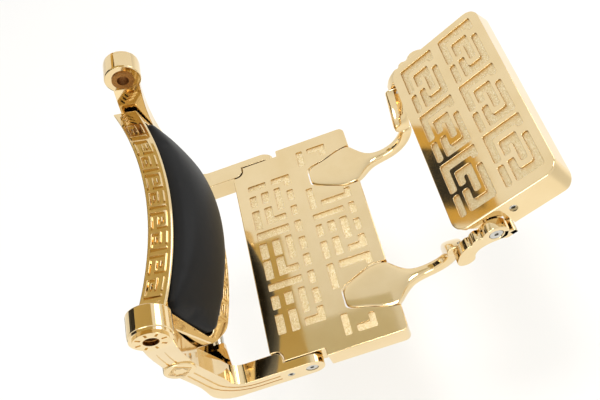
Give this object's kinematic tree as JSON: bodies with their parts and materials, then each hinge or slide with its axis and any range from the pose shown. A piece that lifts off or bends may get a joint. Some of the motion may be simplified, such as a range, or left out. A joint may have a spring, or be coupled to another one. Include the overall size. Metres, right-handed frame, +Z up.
{
  "type": "barber chair leg rest and footrest",
  "caption": "Gold-plated barber chair leg rest: side arms, bowed calf pad, meander-relief footplate and a second foot pad that flips up on swan necks.",
  "frame": {"origin": "middle of the hanging shaft's axis, half way between the two side arms", "axes": "+X to the sitter's left, along the shaft; -Y forward to the toes; +Z up"},
  "size_m": [0.429, 0.5283, 0.309],
  "materials": {
    "gold_plate": "polished casting, gold-plated",
    "zinc_steel": "bright zinc-plated",
    "bush_bronze": "plain bearing bronze",
    "plywood": "unfinished plywood",
    "black_leather": "matte black upholstery",
    "white_nylon": "moulded",
    "black_rubber": "moulded"
  },
  "bodies": {
    "leg_rest": {"side_arm_left": "gold_plate", "side_arm_right": "gold_plate", "shaft_bushes": "bush_bronze", "pivot_rosettes": "gold_plate", "cross_tie": "zinc_steel", "cross_tie_pins": "zinc_steel", "footplate_bushes": "bush_bronze", "footplate_set_screws": "zinc_steel", "calf_frame": "gold_plate", "calf_board": "plywood", "calf_cushion": "black_leather", "calf_board_screws": "zinc_steel", "calf_bracket_left": "gold_plate", "calf_bracket_right": "gold_plate", "calf_bracket_screws": "zinc_steel"},
    "footplate_assembly": {"footplate": "gold_plate", "footplate_pivot_screws": "zinc_steel", "footplate_washers": "white_nylon", "swan_neck_left": "gold_plate", "swan_neck_right": "gold_plate", "swan_neck_bolts": "zinc_steel", "cheek_left": "gold_plate", "cheek_right": "gold_plate", "cheek_dowels": "zinc_steel", "cheek_bushes": "bush_bronze", "rest_buffers": "black_rubber"},
    "foot_pad_assembly": {"foot_pad": "gold_plate", "foot_pad_back": "gold_plate", "foot_pad_back_screws": "zinc_steel", "foot_pad_pivot_screws": "zinc_steel", "foot_pad_spacers": "gold_plate", "foot_pad_side_screws": "zinc_steel"}
  },
  "joints": [
    {"name": "footplate_tilt", "type": "hinge", "parent": "leg_rest", "child": "footplate_assembly", "pos_m": [0, -0.116, -0.266], "axis": [1, 0, 0], "range_deg": [-5, 5]},
    {"name": "foot_pad_flip", "type": "hinge", "parent": "footplate_assembly", "child": "foot_pad_assembly", "pos_m": [0, -0.39086, -0.12644], "axis": [-1, 0, 0], "range_deg": [0, 100]}
  ]
}
